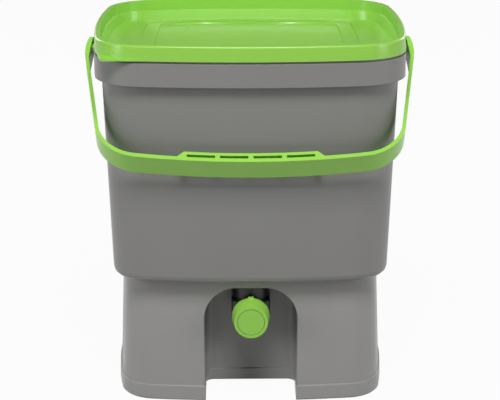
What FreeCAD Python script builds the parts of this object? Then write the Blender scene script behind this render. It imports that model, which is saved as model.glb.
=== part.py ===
import FreeCAD, Part
import math
import os
from collections import namedtuple
from FreeCAD import Vector

# Kitchen fermenting bin with a drain tap, on its own stand.
# Millimetres. The origin is on the floor under the middle of the stand,
# X to the right, Y to the back, Z up. The tap and its niche face -Y.

# Workshop values
over = 1.0
near = 0.01
wall_band_height = 75.0
press_clearance = 0.05
running_clearance = 0.08
seat_gap = 0.3

# Stand
stand_height = 129.5
stand_top_half_width = 132.4
stand_top_half_depth = 101.3
stand_top_corner = 30.0
stand_side_draft = 2.35
stand_front_bow = 870.0
stand_side_bow = 415.0
stand_wall = 2.4
stand_deck = 3.0
deck_rib_depth = 12.0
deck_rib_thickness = 2.0
deck_rib_x = 62.0
deck_rib_first = 40.0
deck_rib_second = 100.0
foot_band_height = 15.7
foot_band_step = 1.4
foot_edge_chamfer = 1.5

# Niche in the front of the stand
niche_half_width = 46.8
niche_top_margin = 9.0
niche_arch_radius = 33.0
niche_back_from_front = 41.5
niche_corner = 8.0
niche_floor_gap = 3.5
niche_band_step = 0.8
niche_wall = 2.4

# Bin
bin_depth = 225.2
bin_base_half_width = 142.2
bin_base_half_depth = 116.2
bin_base_corner = 39.0
bin_front_bow = 800.0
bin_side_bow = 640.0
bin_draft = 1.9
bin_wall = 2.4
bin_floor = 3.0
bin_bottom_radius = 7.0
bin_bottom_steps = 3
bin_inner_chamfer = 4.6

# Collar and rim round the mouth of the bin
collar_height = 22.7
collar_overhang = 6.1
collar_wall = 2.2
collar_rib_thickness = 1.6
collar_rib_setback = 3.0
collar_rib_pitch = 48.0
collar_front_ribs = 4
rim_setback = 2.6
rim_wall = 2.2
rim_height = 12.9

# Lid
lid_clearance = 0.45
lid_wall = 1.7
lid_skirt_gap = 2.1
lid_skirt_height = 14.7
lid_skirt_draft = 2.3
lid_edge_chamfer = 1.2
lid_ledge_depth = 10.5
lid_ledge_width = 2.3
lid_floor_depth = 20.0
lid_floor_side_margin = 5.4
lid_floor_front_margin = 13.2
lid_floor_corner = 34.0
lid_step = 1.6
lid_field_half_width = 111.0
lid_field_edge = 1.5
lid_field_side_bow = 500.0
lid_panel_side_margin = 15.0
lid_panel_back_margin = 8.5
lid_panel_corner = 8.0
lid_panel_side_bow = 900.0
lid_panel_front_bow = 282.0
lid_tab_side_reach = 62.0
lid_tab_front_reach = 58.0
lid_tab_tip_in = 13.5
lid_tab_tip_back = 6.8
lid_tab_thickness = 1.8
lid_tab_tip_radius = 4.0
seal_side_gap = 0.15

# Carrying handle
pivot_below_collar_top = 11.3
pivot_boss_radius = 8.5
pivot_boss_height = 1.5
peg_radius = 5.0
peg_head_radius = 6.6
peg_head_length = 2.6
peg_head_gap = 0.45
handle_reach = 162.9
handle_wall_gap = 0.5
strap_width = 23.2
strap_thickness = 4.4
arm_thickness = 3.5
arm_end_crown = 64.0
arm_peak_gap = 9.8
arm_peak_from_pivot = 15.0
arm_lean = 9.0
arm_tip_gap = 1.6
arm_inner_bulge = 0.66
peg_root_depth = 3.5
handle_corner_radius = 46.0
handle_bar_bow = 823.0
grip_half_length = 63.8
grip_thickness = 10.9
grip_rear_wall = 3.4
grip_rib = 4.7
grip_end_wall = 2.7
grip_slots = 4

# Drain grate inside the bin
grate_height = 14.0
grate_thickness = 2.5
grate_wall_gap = 1.4
grate_lip_height = 6.0
grate_lip_wall = 2.0
grate_foot_half_width = 8.0
grate_foot_wall = 2.0
grate_slot_length = 36.0
grate_slot_width = 3.5
grate_row_pitch = 14.5
grate_column_pitch = 46.0
grate_edge_margin = 6.0
grate_foot_share = 0.68
finger_hole_x = 34.5
finger_hole_y = 29.0
finger_hole_radius = 10.0
finger_hole_margin = 3.0

# Outlet and tap
outlet_from_stand_front = 20.3
outlet_bore = 8.5
outlet_radius = 14.2
outlet_length = 14.5
strainer_radius = 14.0
strainer_thickness = 1.6
strainer_slots = 5
strainer_slot_width = 1.5
strainer_slot_pitch = 2.5
strainer_clearance = 0.2
gasket_thickness = 2.0
tap_axis_below_bin = 37.6
tap_flange_thickness = 3.0
tap_inlet_radius = 10.4
tap_inlet_bore = 7.5
tap_barrel_radius = 12.4
tap_barrel_bore = 9.0
tap_barrel_back = 16.6
tap_barrel_front = 20.4
tap_barrel_end_wall = 2.6
tap_housing_half_width = 19.4
tap_housing_below_axis = 4.4
tap_housing_corner = 5.0
spout_radius = 9.0
spout_bore = 6.4
spout_length = 29.0
nut_radius = 19.0
nut_lip = 3.7
nut_top_gap = 2.5
nut_way_clearance = 2.0
spindle_port_radius = 5.2
spindle_end_gap = 0.4
stem_radius = 6.0
stem_flat = 1.2
seal_ring_width = 1.9
seal_ring_setback = 7.6
seal_ring_bore_gap = 0.03
seal_groove_gap = 0.05
retainer_thickness = 1.3
retainer_half_width = 12.0

# Knob
knob_gap = 0.5
knob_length = 20.0
knob_back_radius = 19.0
knob_front_radius = 16.7
knob_back_band = 4.0
knob_lug_root = 2.2
knob_stem_depth = 11.0
knob_lug_width = 5.6
knob_lug_reach = 20.4
knob_lug_length = 3.2
knob_cap_gap = 0.2
cap_radius = 13.3
cap_thickness = 2.0
screw_head_radius = 4.2
screw_head_height = 2.6
screw_radius = 2.0
screw_length = 12.0
screw_recess_width = 1.0
screw_recess_length = 4.8
screw_recess_depth = 1.4

# Clips that hold the bin on the stand
clip_half_spacing_x = 102.0
clip_half_spacing_y = 66.0
clip_thickness = 2.4
clip_width = 14.0
clip_hook = 1.6
clip_hook_height = 3.5

# Heights and places worked out from the sizes above
bin_base = stand_height
collar_top = bin_base + bin_depth
collar_bottom = collar_top - collar_height
rim_top = collar_top + rim_height
lid_skirt_bottom = collar_top + lid_skirt_gap
lid_top = lid_skirt_bottom + lid_skirt_height
lid_ledge = lid_top - lid_ledge_depth
lid_floor_top = lid_top - lid_floor_depth
pivot_height = collar_top - pivot_below_collar_top
deck_under = bin_base - stand_deck
floor_top = bin_base + bin_floor
stand_front = stand_top_half_depth
niche_top = stand_height - niche_top_margin
niche_back = -stand_front + niche_back_from_front
outlet_y = -stand_front + outlet_from_stand_front
outlet_bottom = bin_base - outlet_length
flange_top = outlet_bottom - gasket_thickness
flange_low = flange_top - tap_flange_thickness
nut_top = deck_under - nut_top_gap
nut_bottom = flange_low - nut_lip
housing_top = nut_bottom - seat_gap
tap_axis_height = bin_base - tap_axis_below_bin
housing_bottom = tap_axis_height - tap_housing_below_axis
barrel_back_y = outlet_y + tap_barrel_back
barrel_front_y = outlet_y - tap_barrel_front
knob_back_y = barrel_front_y - retainer_thickness - knob_gap
knob_front_y = knob_back_y - knob_length

Outline = namedtuple("Outline", "half_width half_depth corner front_bow side_bow")


def tan_deg(angle):
    return math.tan(math.radians(angle))


def sin_deg(angle):
    return math.sin(math.radians(angle))


def cos_deg(angle):
    return math.cos(math.radians(angle))


def offset(outline, distance):
    """The same outline, moved outwards by a distance everywhere."""
    return Outline(*[value + distance for value in outline])


def bin_outline(height, inset=0.0):
    """Outside of the bin's wall at a height, or a line inside it."""
    flare = (height - bin_base) * tan_deg(bin_draft)
    base = Outline(
        bin_base_half_width,
        bin_base_half_depth,
        bin_base_corner,
        bin_front_bow,
        bin_side_bow,
    )
    return offset(base, flare - inset)


def stand_outline(height, inset=0.0):
    """Outside of the stand's wall at a height, or a line inside it."""
    flare = (stand_height - height) * tan_deg(stand_side_draft)
    top = Outline(
        stand_top_half_width,
        stand_top_half_depth,
        stand_top_corner,
        stand_front_bow,
        stand_side_bow,
    )
    return offset(top, flare - inset)


def corner_centre(outline):
    """Centre of the corner arc that runs smoothly into both bowed sides."""
    front = Vector(0, outline.front_bow - outline.half_depth, 0)
    side = Vector(outline.half_width - outline.side_bow, 0, 0)
    to_front = outline.front_bow - outline.corner
    to_side = outline.side_bow - outline.corner
    apart = (side - front).Length
    along = (to_front ** 2 - to_side ** 2 + apart ** 2) / (2 * apart)
    across = math.sqrt(to_front ** 2 - along ** 2)
    step = (side - front) * (1 / apart)
    foot = front + step * along
    one = foot + Vector(step.y, -step.x, 0) * across
    other = foot - Vector(step.y, -step.x, 0) * across
    return one if one.x - one.y > other.x - other.y else other


def plan_wire(outline, height):
    """Rounded rectangle with bowed sides, eight arcs that run into each other."""
    front = Vector(0, outline.front_bow - outline.half_depth, 0)
    side = Vector(outline.half_width - outline.side_bow, 0, 0)
    centre = corner_centre(outline)
    on_front = front + (centre - front).normalize() * outline.front_bow
    on_side = side + (centre - side).normalize() * outline.side_bow
    bisector = ((on_front - centre) + (on_side - centre)).normalize()
    in_corner = centre + bisector * outline.corner

    def at(point, sign_x, sign_y):
        return Vector(point.x * sign_x, point.y * sign_y, height)

    front_middle = Vector(0, -outline.half_depth, 0)
    side_middle = Vector(outline.half_width, 0, 0)
    corners = [
        Part.Arc(at(on_front, 1, 1), at(in_corner, 1, 1), at(on_side, 1, 1)),
        Part.Arc(at(on_side, 1, -1), at(in_corner, 1, -1), at(on_front, 1, -1)),
        Part.Arc(at(on_front, -1, -1), at(in_corner, -1, -1), at(on_side, -1, -1)),
        Part.Arc(at(on_side, -1, 1), at(in_corner, -1, 1), at(on_front, -1, 1)),
    ]
    sides = [
        Part.Arc(at(on_side, 1, 1), at(side_middle, 1, 1), at(on_side, 1, -1)),
        Part.Arc(at(on_front, 1, -1), at(front_middle, 1, -1), at(on_front, -1, -1)),
        Part.Arc(at(on_side, -1, -1), at(side_middle, -1, 1), at(on_side, -1, 1)),
        Part.Arc(at(on_front, -1, 1), at(front_middle, 1, 1), at(on_front, 1, 1)),
    ]
    edges = []
    for corner, straight in zip(corners, sides):
        edges.append(corner.toShape())
        edges.append(straight.toShape())
    return Part.Wire(edges)


def between(low, high, share):
    """The outline that lies a share of the way from one outline to another."""
    return Outline(*[a + (b - a) * share for a, b in zip(low, high)])


def skinned(wires):
    """Solid with straight walls from each wire to the next one above it."""
    faces = [Part.Face(wires[0]), Part.Face(wires[-1])]
    for lower, upper in zip(wires, wires[1:]):
        for one, other in zip(lower.Edges, upper.Edges):
            faces.append(Part.makeRuledSurface(one, other))
    return Part.Solid(Part.Shell(faces))


def wall_wires(low, low_height, high, high_height):
    """Wires up a slanted wall, no further apart than the height of a band."""
    bands = math.ceil((high_height - low_height) / wall_band_height)
    wires = []
    for band in range(bands + 1):
        share = band / bands
        height = low_height + (high_height - low_height) * share
        wires.append(plan_wire(between(low, high, share), height))
    return wires


def block(low, low_height, high, high_height):
    """Solid between one outline below and another above."""
    return skinned(wall_wires(low, low_height, high, high_height))


def prism(outline, low_height, high_height):
    """Solid with the same outline at every height."""
    face = Part.Face(plan_wire(outline, low_height))
    return face.extrude(Vector(0, 0, high_height - low_height))


def chamfered_block(low, low_height, high, high_height, chamfer):
    """Solid between two outlines whose lower edge is cut at a slant."""
    share = chamfer / (high_height - low_height)
    above = between(low, high, share)
    bottom = plan_wire(offset(low, -chamfer), low_height)
    return skinned([bottom] + wall_wires(above, low_height + chamfer, high, high_height))


def upright(radius, x, y, low, high):
    """Round bar that stands upright."""
    return Part.makeCylinder(radius, high - low, Vector(x, y, low), Vector(0, 0, 1))


def along_y(radius, front, back, x=0.0, z=tap_axis_height):
    """Round bar that lies along Y."""
    return Part.makeCylinder(radius, back - front, Vector(x, front, z), Vector(0, 1, 0))


def along_x(radius, low, high, y, z):
    """Round bar that lies along X."""
    return Part.makeCylinder(radius, high - low, Vector(low, y, z), Vector(1, 0, 0))


def box(x_low, x_high, y_low, y_high, z_low, z_high):
    """Block given by its faces."""
    size = (x_high - x_low, y_high - y_low, z_high - z_low)
    return Part.makeBox(*size, Vector(x_low, y_low, z_low))


def turned(points, centre, axis):
    """Solid of revolution from a closed profile of straight lines."""
    face = Part.Face(Part.makePolygon(points + [points[0]]))
    return face.revolve(centre, axis, 360)


def clip_places():
    """Middle of each of the four clips, with the side that its hook points to."""
    places = []
    for side in (-1, 1):
        for end in (-1, 1):
            places.append((side, side * clip_half_spacing_x, end * clip_half_spacing_y))
    return places


def make_clip(side, x, y):
    """Hooked tongue under the bin that snaps through a slot in the stand's deck."""
    inner = x - side * clip_thickness / 2
    outer = x + side * clip_thickness / 2
    hook_top = deck_under - seat_gap
    low = hook_top - clip_hook_height
    front = y - clip_width / 2
    points = [
        Vector(inner, front, bin_base),
        Vector(inner, front, low),
        Vector(outer, front, low),
        Vector(outer + side * clip_hook, front, hook_top),
        Vector(outer, front, hook_top),
        Vector(outer, front, bin_base),
    ]
    return Part.Face(Part.makePolygon(points + [points[0]])).extrude(Vector(0, clip_width, 0))


def collar_outline():
    """Outside of the collar that hangs round the bin's mouth."""
    return offset(bin_outline(collar_top), collar_overhang)


def rim_outline():
    """Outside of the bin's rim, which the lid fits over."""
    return offset(collar_outline(), -rim_setback)


def collar_ribs(gap):
    """Upright ribs between the bin's wall and the collar, clear of the pivots."""
    low = collar_bottom + collar_rib_setback
    high = collar_top - collar_wall
    half = collar_rib_thickness / 2
    reach = collar_outline().half_width
    ribs = []
    for step in range(-collar_front_ribs // 2 + 1, collar_front_ribs // 2 + 1):
        x = step * collar_rib_pitch
        ribs.append(box(x - half, x + half, -reach, reach, low, high))
    for side in (-1, 1):
        y = side * collar_rib_pitch
        ribs.append(box(-reach, reach, y - half, y + half, low, high))
    return Part.makeCompound(ribs).common(gap)


def bin_outside():
    """Outside of the bin up to the collar, with its rounded bottom edge."""
    wires = []
    for step in range(bin_bottom_steps):
        angle = 90 * step / bin_bottom_steps
        height = bin_base + bin_bottom_radius * (1 - cos_deg(angle))
        inset = bin_bottom_radius * (1 - sin_deg(angle))
        wires.append(plan_wire(bin_outline(height, inset), height))
    top = bin_base + bin_bottom_radius
    wires += wall_wires(bin_outline(top), top, bin_outline(collar_top), collar_top)
    return skinned(wires)


def make_bin_body():
    outside = bin_outside()
    collar = collar_outline()
    skirt = prism(collar, collar_bottom, collar_top)
    under_skirt = prism(offset(collar, -collar_wall), collar_bottom, collar_top - collar_wall)
    rim_outside = rim_outline()
    rim = prism(rim_outside, collar_top - collar_wall, rim_top)
    ribs = collar_ribs(under_skirt.cut(outside))
    body = skirt.cut(under_skirt).fuse([rim, outside, ribs])

    hollow = chamfered_block(
        bin_outline(floor_top, bin_wall),
        floor_top,
        bin_outline(collar_top, bin_wall),
        collar_top,
        bin_inner_chamfer,
    )
    mouth = prism(offset(rim_outside, -rim_wall), collar_top, rim_top)
    body = body.cut(hollow).cut(mouth)

    body = body.fuse(upright(outlet_radius, 0, outlet_y, outlet_bottom, floor_top))
    body = body.cut(upright(outlet_bore, 0, outlet_y, outlet_bottom, floor_top))
    body = body.fuse([make_clip(*place) for place in clip_places()])

    for side in (-1, 1):
        inner = collar.half_width - collar_wall
        outer = collar.half_width + pivot_boss_height
        ends = sorted((side * inner, side * outer))
        boss = along_x(pivot_boss_radius, ends[0], ends[1], 0, pivot_height)
        body = body.fuse(boss)
        hole_radius = peg_radius + running_clearance
        hole = along_x(hole_radius, ends[0] - over, ends[1] + over, 0, pivot_height)
        body = body.cut(hole)
    return body.removeSplitter()


def arch_wire(half_width, top, radius, y):
    """Doorway outline: straight sides and a flat top with large round corners."""
    low = 0.0
    spring = top - radius
    flat = half_width - radius
    lean = radius * cos_deg(45)
    edges = [
        Part.LineSegment(Vector(half_width, y, low), Vector(half_width, y, spring)).toShape(),
        Part.Arc(
            Vector(half_width, y, spring),
            Vector(flat + lean, y, spring + lean),
            Vector(flat, y, top),
        ).toShape(),
        Part.LineSegment(Vector(flat, y, top), Vector(-flat, y, top)).toShape(),
        Part.Arc(
            Vector(-flat, y, top),
            Vector(-flat - lean, y, spring + lean),
            Vector(-half_width, y, spring),
        ).toShape(),
        Part.LineSegment(Vector(-half_width, y, spring), Vector(-half_width, y, low)).toShape(),
        Part.LineSegment(Vector(-half_width, y, low), Vector(half_width, y, low)).toShape(),
    ]
    return Part.Wire(edges)


def arch_block(grow, back, rounded):
    """Doorway shape pushed in from the front, with its back edge rounded if asked."""
    front = -(stand_front + stand_height)
    face = Part.Face(arch_wire(niche_half_width + grow, niche_top + grow, niche_arch_radius + grow, front))
    solid = face.extrude(Vector(0, back - front, 0))
    if not rounded:
        return solid
    back_edges = []
    for edge in solid.Edges:
        bounds = edge.BoundBox
        if bounds.YMin > back - near and bounds.ZMax > near:
            back_edges.append(edge)
    return solid.makeFillet(niche_corner, back_edges)


def deck_ribs(hollow):
    """Crossing ribs under the deck that carry the bin's weight to the walls."""
    low = deck_under - deck_rib_depth
    half = deck_rib_thickness / 2
    reach = stand_top_half_width
    ribs = []
    for side in (-1, 1):
        x = side * deck_rib_x
        ribs.append(box(x - half, x + half, -reach, reach, low, deck_under))
    for y in (niche_back + deck_rib_first, niche_back + deck_rib_second):
        ribs.append(box(-reach, reach, y - half, y + half, low, deck_under))
    return Part.makeCompound(ribs).common(hollow)


def make_stand():
    band_outline = stand_outline(foot_band_height, -foot_band_step)
    foot_outline = stand_outline(0, -foot_band_step)
    outside = block(
        stand_outline(foot_band_height), foot_band_height, stand_outline(stand_height), stand_height
    )
    band = chamfered_block(foot_outline, 0, band_outline, foot_band_height, foot_edge_chamfer)
    hollow = block(
        stand_outline(0, stand_wall), 0, stand_outline(deck_under, stand_wall), deck_under
    )
    envelope = outside.fuse(band)
    shell = envelope.cut(hollow).fuse(deck_ribs(hollow))

    niche_shell = arch_block(niche_wall, niche_back + niche_wall, False).common(envelope)
    low_cut = box(
        -stand_top_half_width,
        stand_top_half_width,
        niche_back - niche_corner,
        niche_back + niche_wall,
        0,
        niche_floor_gap,
    )
    niche_void = arch_block(0, niche_back, True)
    below_band = box(
        -stand_top_half_width,
        stand_top_half_width,
        -stand_top_half_depth * 2,
        stand_top_half_depth,
        0,
        foot_band_height,
    )
    slim_void = arch_block(-niche_band_step, niche_back - niche_band_step, True)
    void = niche_void.cut(below_band).fuse(slim_void)
    shell = shell.fuse(niche_shell).cut(void).cut(low_cut)

    nut_way_radius = nut_radius + nut_way_clearance
    nut_way = upright(nut_way_radius, 0, outlet_y, niche_top - niche_arch_radius, deck_under)
    shell = shell.cut(nut_way)
    shell = shell.cut(upright(outlet_radius + over, 0, outlet_y, deck_under, stand_height))
    half_x = clip_thickness / 2 + seat_gap
    half_y = clip_width / 2 + seat_gap
    for side, x, y in clip_places():
        slot = box(x - half_x, x + half_x, y - half_y, y + half_y, deck_under, stand_height)
        shell = shell.cut(slot)
    return shell.removeSplitter()


def lid_tab(skirt):
    """Flat lifting tab that squares off the lid's left front corner."""
    side_centre_x = skirt.half_width - skirt.side_bow
    front_centre_y = skirt.front_bow - skirt.half_depth
    side_x = side_centre_x + math.sqrt(skirt.side_bow ** 2 - lid_tab_side_reach ** 2)
    front_x = skirt.half_width - lid_tab_front_reach
    front_y = front_centre_y - math.sqrt(skirt.front_bow ** 2 - front_x ** 2)
    corner = corner_centre(skirt)
    tip_x = lid_tab_tip_in - skirt.half_width
    tip_y = lid_tab_tip_back - skirt.half_depth
    points = [
        Vector(-side_x, -lid_tab_side_reach, lid_skirt_bottom),
        Vector(tip_x, tip_y, lid_skirt_bottom),
        Vector(-front_x, front_y, lid_skirt_bottom),
        Vector(-corner.x, corner.y, lid_skirt_bottom),
    ]
    face = Part.Face(Part.makePolygon(points + [points[0]]))
    tab = face.extrude(Vector(0, 0, lid_tab_thickness))
    tip_edges = []
    for edge in tab.Edges:
        middle = edge.CenterOfMass
        if abs(middle.x - tip_x) < near and abs(middle.y - tip_y) < near:
            tip_edges.append(edge)
    return tab.makeFillet(lid_tab_tip_radius, tip_edges)


def lid_field(floor):
    """Middle field of the lid's floor, one step down, with bowed ends."""
    return Outline(
        lid_field_half_width,
        floor.half_depth - lid_field_edge,
        lid_panel_corner,
        floor.front_bow,
        lid_field_side_bow,
    )


def lid_panel(floor):
    """Panel inside the field, one more step down."""
    return Outline(
        lid_field_half_width - lid_panel_side_margin,
        floor.half_depth - lid_panel_back_margin,
        lid_panel_corner,
        lid_panel_front_bow,
        lid_panel_side_bow,
    )


def make_lid():
    rim = rim_outline()
    channel_outside = offset(rim, lid_clearance)
    channel_inside = offset(rim, -rim_wall - lid_clearance)
    skirt_low = offset(channel_outside, lid_wall)
    skirt_high = offset(skirt_low, -lid_skirt_height * tan_deg(lid_skirt_draft))
    recess = offset(channel_inside, -lid_wall)
    ledge = offset(recess, -lid_ledge_width)
    floor = Outline(
        recess.half_width - lid_floor_side_margin,
        recess.half_depth - lid_floor_front_margin,
        lid_floor_corner,
        recess.front_bow,
        recess.side_bow,
    )

    outside = skinned(
        [
            plan_wire(skirt_low, lid_skirt_bottom),
            plan_wire(skirt_high, lid_top - lid_edge_chamfer),
            plan_wire(offset(skirt_high, -lid_edge_chamfer), lid_top),
        ]
    )
    ledge_under = lid_ledge - lid_wall
    channel_top = lid_top - lid_wall
    channel = prism(channel_outside, lid_skirt_bottom, channel_top)
    core = prism(channel_inside, ledge_under, channel_top)
    lid = outside.cut(channel.cut(core))
    lid = lid.fuse(lid_tab(skirt_low).cut(channel))

    floor_under = lid_floor_top - lid_wall
    plug = block(offset(floor, lid_wall), floor_under, offset(ledge, lid_wall), ledge_under)
    hollows = [prism(recess, lid_ledge, lid_top), block(floor, lid_floor_top, ledge, lid_ledge)]
    field = lid_field(floor)
    panel = lid_panel(floor)
    field_level = lid_floor_top - lid_step
    panel_level = field_level - lid_step
    hollows.append(prism(field, field_level, lid_floor_top + lid_step))
    hollows.append(prism(panel, panel_level, lid_floor_top + lid_step))
    field_plug = prism(offset(field, lid_wall), panel_level - lid_wall, floor_under + lid_step)
    lid = lid.fuse([plug, field_plug])
    for hollow in hollows:
        lid = lid.cut(hollow)
    return lid.removeSplitter()


def make_lid_seal():
    rim = rim_outline()
    outer = offset(rim, lid_clearance - seal_side_gap)
    inner = offset(rim, -rim_wall - lid_clearance + seal_side_gap)
    low = rim_top + seat_gap
    high = lid_top - lid_wall
    return prism(outer, low, high).cut(prism(inner, low, high))


def handle_path(arm_inset, bar_inset):
    """Points along half of the strap, moved inwards by a distance on the arm and on the bar.

    In the handle's own plane X is the distance from the middle and Y the
    distance from the pivots. The points are the end of the crown, the end of
    the straight arm, the middle and end of the corner and the bar's middle.
    """
    corner_inset = (arm_inset + bar_inset) / 2
    peak_x = collar_outline().half_width + arm_peak_gap
    crown_centre = Vector(peak_x - arm_end_crown, arm_peak_from_pivot, 0)
    outward = Vector(cos_deg(arm_lean), sin_deg(arm_lean), 0)
    on_crown = crown_centre + outward * (arm_end_crown - arm_inset)
    down = Vector(-sin_deg(arm_lean), cos_deg(arm_lean), 0)
    bar_centre = Vector(0, handle_reach - handle_bar_bow, 0)
    corner_from_bar = handle_bar_bow - handle_corner_radius
    line_point = crown_centre + outward * (arm_end_crown - handle_corner_radius)
    gap = line_point - bar_centre
    along = -gap.dot(down)
    reach = math.sqrt(corner_from_bar ** 2 - (gap.dot(gap) - along ** 2))
    corner = line_point + down * (along + reach)
    on_arm = corner + outward * (handle_corner_radius - arm_inset)
    toward_bar = (corner - bar_centre).normalize()
    on_bar = corner + toward_bar * (handle_corner_radius - bar_inset)
    middle_dir = (outward + toward_bar).normalize()
    in_corner = corner + middle_dir * (handle_corner_radius - corner_inset)
    bar_middle = Vector(0, handle_reach - bar_inset, 0)
    return on_crown, on_arm, in_corner, on_bar, bar_middle


def mirror_x(point):
    return Vector(-point.x, point.y, point.z)


def handle_strap():
    """The flat strap bent into a U, as a solid in the handle's own plane."""
    collar_x = collar_outline().half_width
    end = -strap_width / 2
    outer = handle_path(0.0, 0.0)
    inner = handle_path(arm_thickness, strap_thickness)
    peak_x = collar_x + arm_peak_gap
    drop = arm_end_crown - math.sqrt(arm_end_crown ** 2 - (arm_peak_from_pivot - end) ** 2)
    outer_end = Vector(peak_x - drop, end, 0)
    outer_peak = Vector(peak_x, arm_peak_from_pivot, 0)
    inner_end = Vector(collar_x + arm_tip_gap, end, 0)
    inner_middle = (inner_end + inner[0]) * 0.5 + Vector(arm_inner_bulge, 0, 0)

    def side(flip):
        def at(point):
            return mirror_x(point) if flip else point
        return [
            Part.Arc(at(outer_end), at(outer_peak), at(outer[0])).toShape(),
            Part.LineSegment(at(outer[0]), at(outer[1])).toShape(),
            Part.Arc(at(outer[1]), at(outer[2]), at(outer[3])).toShape(),
            Part.Arc(at(inner[1]), at(inner[2]), at(inner[3])).toShape(),
            Part.LineSegment(at(inner[0]), at(inner[1])).toShape(),
            Part.Arc(at(inner_end), at(inner_middle), at(inner[0])).toShape(),
            Part.LineSegment(at(inner_end), at(outer_end)).toShape(),
        ]

    edges = side(False) + side(True)
    edges.append(Part.Arc(outer[3], outer[4], mirror_x(outer[3])).toShape())
    edges.append(Part.Arc(inner[3], inner[4], mirror_x(inner[3])).toShape())
    wire = Part.Wire(Part.__sortEdges__(edges))
    return Part.Face(wire), peak_x


def grip_face():
    """Rear wall of the grip with its sloping ends, in the handle's own plane."""
    bow = handle_bar_bow
    centre_y = handle_reach - bow
    front = bow - strap_thickness / 2
    back = bow - grip_thickness
    slope = grip_thickness - strap_thickness

    def on(radius, x):
        return Vector(x, centre_y + math.sqrt(radius ** 2 - x ** 2), 0)

    wide = grip_half_length + slope
    edges = [
        Part.Arc(on(front, -wide), on(front, 0), on(front, wide)).toShape(),
        Part.LineSegment(on(front, wide), on(bow - strap_thickness, wide)).toShape(),
        Part.LineSegment(on(bow - strap_thickness, wide), on(back, grip_half_length)).toShape(),
        Part.Arc(on(back, grip_half_length), on(back, 0), on(back, -grip_half_length)).toShape(),
        Part.LineSegment(on(back, -grip_half_length), on(bow - strap_thickness, -wide)).toShape(),
        Part.LineSegment(on(bow - strap_thickness, -wide), on(front, -wide)).toShape(),
    ]
    block_face = Part.Face(Part.Wire(edges))

    slot_front = bow - strap_thickness
    slot_back = bow - grip_thickness + grip_rear_wall
    inside = grip_half_length - grip_end_wall
    slot_length = (2 * inside - (grip_slots - 1) * grip_rib) / grip_slots
    slots = []
    for index in range(grip_slots):
        low = -inside + index * (slot_length + grip_rib)
        high = low + slot_length
        middle = (low + high) / 2
        outline = [
            Part.Arc(on(slot_front, low), on(slot_front, middle), on(slot_front, high)).toShape(),
            Part.LineSegment(on(slot_front, high), on(slot_back, high)).toShape(),
            Part.Arc(on(slot_back, high), on(slot_back, middle), on(slot_back, low)).toShape(),
            Part.LineSegment(on(slot_back, low), on(slot_front, low)).toShape(),
        ]
        slots.append(Part.Face(Part.Wire(outline)))
    return block_face, slots


def handle_hang_angle():
    """Slope of the hanging handle, with the grip's lower inner edge just off the bin."""
    half = strap_width / 2
    grip_inside = handle_reach - grip_thickness
    edge_reach = math.hypot(grip_inside, half)
    edge_angle = math.degrees(math.atan2(half, grip_inside))
    flare = (pivot_height - bin_base) * tan_deg(bin_draft)
    wall = bin_base_half_depth + handle_wall_gap + flare
    return bin_draft + math.degrees(math.acos(wall * cos_deg(bin_draft) / edge_reach)) - edge_angle


def make_carry_handle():
    half = strap_width / 2
    lift = Vector(0, 0, strap_width)
    strap_face, peak_x = handle_strap()
    rear_face, slot_faces = grip_face()
    down = Vector(0, 0, -half)
    strap_face.translate(down)
    rear_face.translate(down)
    body = strap_face.extrude(lift).fuse(rear_face.extrude(lift))
    for face in slot_faces:
        face.translate(down)
        body = body.cut(face.extrude(lift))

    wide = peak_x + strap_thickness
    tall = handle_reach + strap_thickness
    keep_round = Part.makeCylinder(half, 2 * wide, Vector(-wide, 0, 0), Vector(1, 0, 0))
    keep_long = box(-wide, wide, 0, tall, -half, half)
    body = body.common(keep_round.fuse(keep_long))

    collar_x = collar_outline().half_width
    skirt_inside = collar_x - collar_wall
    peg_end = skirt_inside - peg_head_gap - peg_head_length
    for side in (-1, 1):
        ends = sorted((side * peg_end, side * (collar_x + arm_tip_gap + peg_root_depth)))
        body = body.fuse(along_x(peg_radius, ends[0], ends[1], 0, 0))
        ends = sorted((side * peg_end, side * (peg_end + peg_head_length)))
        body = body.fuse(along_x(peg_head_radius, ends[0], ends[1], 0, 0))
    body = body.removeSplitter()
    body.rotate(Vector(0, 0, 0), Vector(1, 0, 0), 180 + handle_hang_angle())
    body.translate(Vector(0, 0, pivot_height))
    return body


def grate_slots(outline, low, high):
    """Rows of slots, every other row shifted by half a pitch, each kept off the plate's edge."""
    slots = []
    half_wide = grate_slot_width / 2
    rows = int((outline.half_depth - grate_edge_margin) // grate_row_pitch)
    columns = int(outline.half_width // grate_column_pitch) + 1
    for row in range(-rows, rows + 1):
        y = row * grate_row_pitch
        shift = grate_column_pitch / 2 if row % 2 else 0.0
        for column in range(-columns, columns + 1):
            left = column * grate_column_pitch + shift - grate_slot_length / 2
            right = left + grate_slot_length
            slots.append(box(left, right, y - half_wide, y + half_wide, low, high))
    inside = prism(offset(outline, -grate_edge_margin), low, high)
    return Part.makeCompound(slots).common(inside)


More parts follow.
